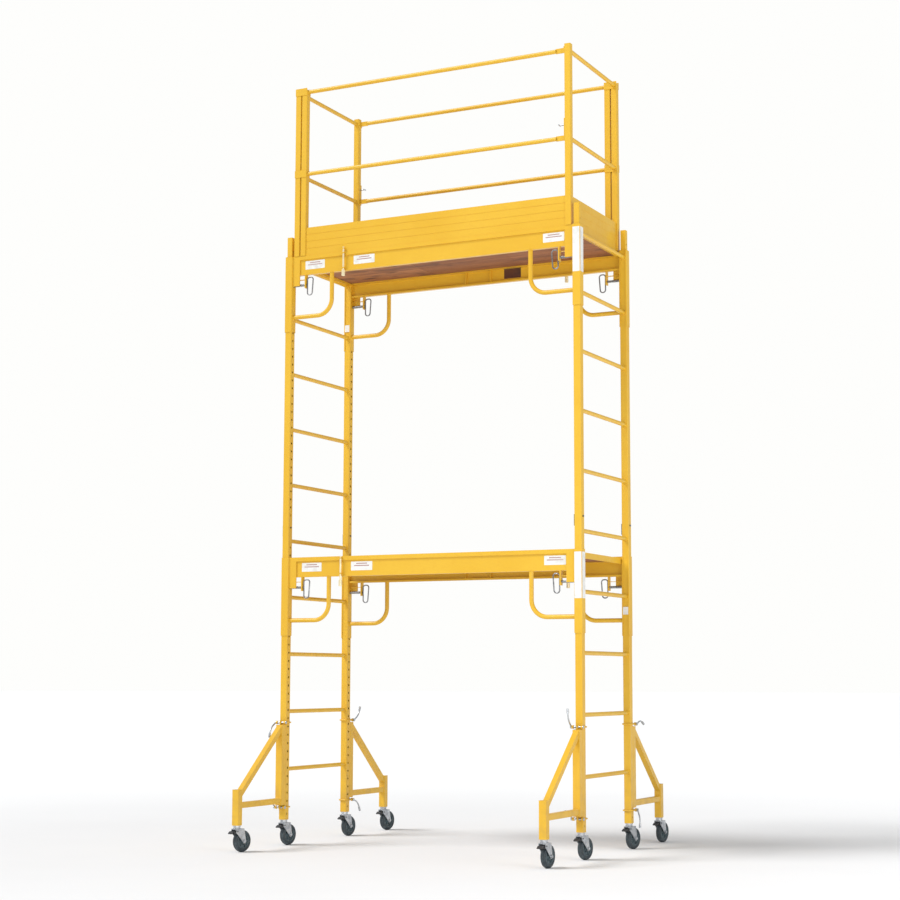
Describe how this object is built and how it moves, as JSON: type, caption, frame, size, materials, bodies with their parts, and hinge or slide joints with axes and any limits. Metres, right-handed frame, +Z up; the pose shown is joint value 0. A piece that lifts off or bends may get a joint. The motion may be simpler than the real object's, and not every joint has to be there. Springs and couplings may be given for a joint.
{
  "type": "baker scaffold",
  "caption": "Rolling scaffold tower with ladder end frames, two plywood platforms on side brackets, a guardrail with toe boards, and outriggers on swivel casters.",
  "frame": {"origin": "on the floor, midway between the four posts", "axes": "+X along the platforms from the left end frame to the right one, +Y from front to back, +Z up"},
  "size_m": [2.0522, 1.944, 4.753],
  "materials": {
    "yellow_paint": "gloss",
    "plywood": "matte",
    "zinc_plate": "satin",
    "dark_steel": "satin",
    "rubber": "matte",
    "black_steel": "satin"
  },
  "bodies": {
    "root": {"lower_frame_left": "yellow_paint", "lower_frame_right": "yellow_paint", "upper_frame_left": "yellow_paint", "upper_frame_right": "yellow_paint", "frame_snap_pins": "dark_steel", "side_brackets_lower": "yellow_paint", "side_brackets_upper": "yellow_paint", "deck_boards": "plywood", "deck_frames": "yellow_paint", "guardrail_long_gates": "yellow_paint", "guardrail_end_gates": "yellow_paint", "toe_boards": "yellow_paint", "outriggers": "yellow_paint", "caster_stems": "zinc_plate"},
    "bracket_pin_lower_front_left": {"bracket_pin_lower_front_left": "zinc_plate"},
    "bracket_pin_lower_front_right": {"bracket_pin_lower_front_right": "zinc_plate"},
    "bracket_pin_lower_back_left": {"bracket_pin_lower_back_left": "zinc_plate"},
    "bracket_pin_lower_back_right": {"bracket_pin_lower_back_right": "zinc_plate"},
    "toe_bolt_lower_front": {"toe_bolt_lower_front": "zinc_plate"},
    "toe_bolt_lower_back": {"toe_bolt_lower_back": "zinc_plate"},
    "bracket_pin_upper_front_left": {"bracket_pin_upper_front_left": "zinc_plate"},
    "bracket_pin_upper_front_right": {"bracket_pin_upper_front_right": "zinc_plate"},
    "bracket_pin_upper_back_left": {"bracket_pin_upper_back_left": "zinc_plate"},
    "bracket_pin_upper_back_right": {"bracket_pin_upper_back_right": "zinc_plate"},
    "toe_bolt_upper_front": {"toe_bolt_upper_front": "zinc_plate"},
    "toe_bolt_upper_back": {"toe_bolt_upper_back": "zinc_plate"},
    "guardrail_pin_front": {"guardrail_pin_front": "zinc_plate"},
    "guardrail_pin_back": {"guardrail_pin_back": "zinc_plate"},
    "clamp_lever_top_front_left": {"clamp_lever_top_front_left": "zinc_plate"},
    "clamp_lever_bottom_front_left": {"clamp_lever_bottom_front_left": "zinc_plate"},
    "clamp_lever_top_front_right": {"clamp_lever_top_front_right": "zinc_plate"},
    "clamp_lever_bottom_front_right": {"clamp_lever_bottom_front_right": "zinc_plate"},
    "clamp_lever_top_back_left": {"clamp_lever_top_back_left": "zinc_plate"},
    "clamp_lever_bottom_back_left": {"clamp_lever_bottom_back_left": "zinc_plate"},
    "clamp_lever_top_back_right": {"clamp_lever_top_back_right": "zinc_plate"},
    "clamp_lever_bottom_back_right": {"clamp_lever_bottom_back_right": "zinc_plate"},
    "caster_fork_front_left_post": {"caster_fork_front_left_post": "zinc_plate"},
    "caster_wheel_front_left_post": {"caster_wheel_front_left_post": "rubber"},
    "caster_brake_front_left_post": {"caster_brake_front_left_post": "black_steel"},
    "caster_fork_front_left_outer": {"caster_fork_front_left_outer": "zinc_plate"},
    "caster_wheel_front_left_outer": {"caster_wheel_front_left_outer": "rubber"},
    "caster_brake_front_left_outer": {"caster_brake_front_left_outer": "black_steel"},
    "caster_fork_front_right_post": {"caster_fork_front_right_post": "zinc_plate"},
    "caster_wheel_front_right_post": {"caster_wheel_front_right_post": "rubber"},
    "caster_brake_front_right_post": {"caster_brake_front_right_post": "black_steel"},
    "caster_fork_front_right_outer": {"caster_fork_front_right_outer": "zinc_plate"},
    "caster_wheel_front_right_outer": {"caster_wheel_front_right_outer": "rubber"},
    "caster_brake_front_right_outer": {"caster_brake_front_right_outer": "black_steel"},
    "caster_fork_back_left_post": {"caster_fork_back_left_post": "zinc_plate"},
    "caster_wheel_back_left_post": {"caster_wheel_back_left_post": "rubber"},
    "caster_brake_back_left_post": {"caster_brake_back_left_post": "black_steel"},
    "caster_fork_back_left_outer": {"caster_fork_back_left_outer": "zinc_plate"},
    "caster_wheel_back_left_outer": {"caster_wheel_back_left_outer": "rubber"},
    "caster_brake_back_left_outer": {"caster_brake_back_left_outer": "black_steel"},
    "caster_fork_back_right_post": {"caster_fork_back_right_post": "zinc_plate"},
    "caster_wheel_back_right_post": {"caster_wheel_back_right_post": "rubber"},
    "caster_brake_back_right_post": {"caster_brake_back_right_post": "black_steel"},
    "caster_fork_back_right_outer": {"caster_fork_back_right_outer": "zinc_plate"},
    "caster_wheel_back_right_outer": {"caster_wheel_back_right_outer": "rubber"},
    "caster_brake_back_right_outer": {"caster_brake_back_right_outer": "black_steel"}
  },
  "joints": [
    {"name": "bracket_pin_lower_front_left_slide", "type": "slide", "parent": "root", "child": "bracket_pin_lower_front_left", "axis": [1, 0, 0], "range_m": [0, 0.016], "stiffness_N_per_m": 1500, "springref_m": -0.01},
    {"name": "bracket_pin_lower_front_right_slide", "type": "slide", "parent": "root", "child": "bracket_pin_lower_front_right", "axis": [-1, 0, 0], "range_m": [0, 0.016], "stiffness_N_per_m": 1500, "springref_m": -0.01},
    {"name": "bracket_pin_lower_back_left_slide", "type": "slide", "parent": "root", "child": "bracket_pin_lower_back_left", "axis": [1, 0, 0], "range_m": [0, 0.016], "stiffness_N_per_m": 1500, "springref_m": -0.01},
    {"name": "bracket_pin_lower_back_right_slide", "type": "slide", "parent": "root", "child": "bracket_pin_lower_back_right", "axis": [-1, 0, 0], "range_m": [0, 0.016], "stiffness_N_per_m": 1500, "springref_m": -0.01},
    {"name": "toe_bolt_lower_front_slide", "type": "slide", "parent": "root", "child": "toe_bolt_lower_front", "axis": [0, 0, 1], "range_m": [0, 0.026]},
    {"name": "toe_bolt_lower_back_slide", "type": "slide", "parent": "root", "child": "toe_bolt_lower_back", "axis": [0, 0, 1], "range_m": [0, 0.026]},
    {"name": "bracket_pin_upper_front_left_slide", "type": "slide", "parent": "root", "child": "bracket_pin_upper_front_left", "axis": [1, 0, 0], "range_m": [0, 0.016], "stiffness_N_per_m": 1500, "springref_m": -0.01},
    {"name": "bracket_pin_upper_front_right_slide", "type": "slide", "parent": "root", "child": "bracket_pin_upper_front_right", "axis": [-1, 0, 0], "range_m": [0, 0.016], "stiffness_N_per_m": 1500, "springref_m": -0.01},
    {"name": "bracket_pin_upper_back_left_slide", "type": "slide", "parent": "root", "child": "bracket_pin_upper_back_left", "axis": [1, 0, 0], "range_m": [0, 0.016], "stiffness_N_per_m": 1500, "springref_m": -0.01},
    {"name": "bracket_pin_upper_back_right_slide", "type": "slide", "parent": "root", "child": "bracket_pin_upper_back_right", "axis": [-1, 0, 0], "range_m": [0, 0.016], "stiffness_N_per_m": 1500, "springref_m": -0.01},
    {"name": "toe_bolt_upper_front_slide", "type": "slide", "parent": "root", "child": "toe_bolt_upper_front", "axis": [0, 0, 1], "range_m": [-0.026, 0]},
    {"name": "toe_bolt_upper_back_slide", "type": "slide", "parent": "root", "child": "toe_bolt_upper_back", "axis": [0, 0, 1], "range_m": [-0.026, 0]},
    {"name": "guardrail_pin_front_slide", "type": "slide", "parent": "root", "child": "guardrail_pin_front", "axis": [-1, 0, 0], "range_m": [0, 0.014]},
    {"name": "guardrail_pin_back_slide", "type": "slide", "parent": "root", "child": "guardrail_pin_back", "axis": [1, 0, 0], "range_m": [0, 0.014]},
    {"name": "clamp_lever_top_front_left_hinge", "type": "hinge", "parent": "root", "child": "clamp_lever_top_front_left", "pos_m": [-0.981, -0.41702, 0.742], "axis": [-1, 0, 0], "range_deg": [0, 90]},
    {"name": "clamp_lever_bottom_front_left_hinge", "type": "hinge", "parent": "root", "child": "clamp_lever_bottom_front_left", "pos_m": [-0.981, -0.41702, 0.231], "axis": [-1, 0, 0], "range_deg": [0, 90]},
    {"name": "clamp_lever_top_front_right_hinge", "type": "hinge", "parent": "root", "child": "clamp_lever_top_front_right", "pos_m": [0.981, -0.41702, 0.742], "axis": [-1, 0, 0], "range_deg": [0, 90]},
    {"name": "clamp_lever_bottom_front_right_hinge", "type": "hinge", "parent": "root", "child": "clamp_lever_bottom_front_right", "pos_m": [0.981, -0.41702, 0.231], "axis": [-1, 0, 0], "range_deg": [0, 90]},
    {"name": "clamp_lever_top_back_left_hinge", "type": "hinge", "parent": "root", "child": "clamp_lever_top_back_left", "pos_m": [-0.981, 0.41702, 0.742], "axis": [1, 0, 0], "range_deg": [0, 90]},
    {"name": "clamp_lever_bottom_back_left_hinge", "type": "hinge", "parent": "root", "child": "clamp_lever_bottom_back_left", "pos_m": [-0.981, 0.41702, 0.231], "axis": [1, 0, 0], "range_deg": [0, 90]},
    {"name": "clamp_lever_top_back_right_hinge", "type": "hinge", "parent": "root", "child": "clamp_lever_top_back_right", "pos_m": [0.981, 0.41702, 0.742], "axis": [1, 0, 0], "range_deg": [0, 90]},
    {"name": "clamp_lever_bottom_back_right_hinge", "type": "hinge", "parent": "root", "child": "clamp_lever_bottom_back_right", "pos_m": [0.981, 0.41702, 0.231], "axis": [1, 0, 0], "range_deg": [0, 90]},
    {"name": "caster_fork_front_left_post_swivel", "type": "hinge", "parent": "root", "child": "caster_fork_front_left_post", "pos_m": [-0.981, -0.372, 0.14], "axis": [0, 0, 1], "continuous": true},
    {"name": "caster_wheel_front_left_post_spin", "type": "hinge", "parent": "caster_fork_front_left_post", "child": "caster_wheel_front_left_post", "pos_m": [-0.97515, -0.33041, 0.0635], "axis": [-0.9903, 0.1392, 0], "continuous": true},
    {"name": "caster_brake_front_left_post_hinge", "type": "hinge", "parent": "caster_fork_front_left_post", "child": "caster_brake_front_left_post", "pos_m": [-0.98295, -0.38586, 0.122], "axis": [0.9903, -0.1392, 0], "range_deg": [0, 25]},
    {"name": "caster_fork_front_left_outer_swivel", "type": "hinge", "parent": "root", "child": "caster_fork_front_left_outer", "pos_m": [-0.981, -0.889, 0.14], "axis": [0, 0, 1], "continuous": true},
    {"name": "caster_wheel_front_left_outer_spin", "type": "hinge", "parent": "caster_fork_front_left_outer", "child": "caster_wheel_front_left_outer", "pos_m": [-0.97227, -0.84792, 0.0635], "axis": [-0.9781, 0.2079, 0], "continuous": true},
    {"name": "caster_brake_front_left_outer_hinge", "type": "hinge", "parent": "caster_fork_front_left_outer", "child": "caster_brake_front_left_outer", "pos_m": [-0.98391, -0.90269, 0.122], "axis": [0.9781, -0.2079, 0], "range_deg": [0, 25]},
    {"name": "caster_fork_front_right_post_swivel", "type": "hinge", "parent": "root", "child": "caster_fork_front_right_post", "pos_m": [0.981, -0.372, 0.14], "axis": [0, 0, 1], "continuous": true},
    {"name": "caster_wheel_front_right_post_spin", "type": "hinge", "parent": "caster_fork_front_right_post", "child": "caster_wheel_front_right_post", "pos_m": [0.98829, -0.33064, 0.0635], "axis": [-0.9848, 0.1736, 0], "continuous": true},
    {"name": "caster_brake_front_right_post_hinge", "type": "hinge", "parent": "caster_fork_front_right_post", "child": "caster_brake_front_right_post", "pos_m": [0.97857, -0.38579, 0.122], "axis": [0.9848, -0.1736, 0], "range_deg": [0, 25]},
    {"name": "caster_fork_front_right_outer_swivel", "type": "hinge", "parent": "root", "child": "caster_fork_front_right_outer", "pos_m": [0.981, -0.889, 0.14], "axis": [0, 0, 1], "continuous": true},
    {"name": "caster_wheel_front_right_outer_spin", "type": "hinge", "parent": "caster_fork_front_right_outer", "child": "caster_wheel_front_right_outer", "pos_m": [0.98393, -0.8471, 0.0635], "axis": [-0.9976, 0.0698, 0], "continuous": true},
    {"name": "caster_brake_front_right_outer_hinge", "type": "hinge", "parent": "caster_fork_front_right_outer", "child": "caster_brake_front_right_outer", "pos_m": [0.98002, -0.90297, 0.122], "axis": [0.9976, -0.0698, 0], "range_deg": [0, 25]},
    {"name": "caster_fork_back_left_post_swivel", "type": "hinge", "parent": "root", "child": "caster_fork_back_left_post", "pos_m": [-0.981, 0.372, 0.14], "axis": [0, 0, 1], "continuous": true},
    {"name": "caster_wheel_back_left_post_spin", "type": "hinge", "parent": "caster_fork_back_left_post", "child": "caster_wheel_back_left_post", "pos_m": [-0.97661, 0.41377, 0.0635], "axis": [-0.9945, 0.1045, 0], "continuous": true},
    {"name": "caster_brake_back_left_post_hinge", "type": "hinge", "parent": "caster_fork_back_left_post", "child": "caster_brake_back_left_post", "pos_m": [-0.98246, 0.35808, 0.122], "axis": [0.9945, -0.1045, 0], "range_deg": [0, 25]},
    {"name": "caster_fork_back_left_outer_swivel", "type": "hinge", "parent": "root", "child": "caster_fork_back_left_outer", "pos_m": [-0.981, 0.889, 0.14], "axis": [0, 0, 1], "continuous": true},
    {"name": "caster_wheel_back_left_outer_spin", "type": "hinge", "parent": "caster_fork_back_left_outer", "child": "caster_wheel_back_left_outer", "pos_m": [-0.97299, 0.93023, 0.0635], "axis": [-0.9816, 0.1908, 0], "continuous": true},
    {"name": "caster_brake_back_left_outer_hinge", "type": "hinge", "parent": "caster_fork_back_left_outer", "child": "caster_brake_back_left_outer", "pos_m": [-0.98367, 0.87526, 0.122], "axis": [0.9816, -0.1908, 0], "range_deg": [0, 25]},
    {"name": "caster_fork_back_right_post_swivel", "type": "hinge", "parent": "root", "child": "caster_fork_back_right_post", "pos_m": [0.981, 0.372, 0.14], "axis": [0, 0, 1], "continuous": true},
    {"name": "caster_wheel_back_right_post_spin", "type": "hinge", "parent": "caster_fork_back_right_post", "child": "caster_wheel_back_right_post", "pos_m": [0.98973, 0.41308, 0.0635], "axis": [-0.9781, 0.2079, 0], "continuous": true},
    {"name": "caster_brake_back_right_post_hinge", "type": "hinge", "parent": "caster_fork_back_right_post", "child": "caster_brake_back_right_post", "pos_m": [0.97809, 0.35831, 0.122], "axis": [0.9781, -0.2079, 0], "range_deg": [0, 25]},
    {"name": "caster_fork_back_right_outer_swivel", "type": "hinge", "parent": "root", "child": "caster_fork_back_right_outer", "pos_m": [0.981, 0.889, 0.14], "axis": [0, 0, 1], "continuous": true},
    {"name": "caster_wheel_back_right_outer_spin", "type": "hinge", "parent": "caster_fork_back_right_outer", "child": "caster_wheel_back_right_outer", "pos_m": [0.98612, 0.93069, 0.0635], "axis": [-0.9925, 0.1219, 0], "continuous": true},
    {"name": "caster_brake_back_right_outer_hinge", "type": "hinge", "parent": "caster_fork_back_right_outer", "child": "caster_brake_back_right_outer", "pos_m": [0.97929, 0.8751, 0.122], "axis": [0.9925, -0.1219, 0], "range_deg": [0, 25]}
  ]
}
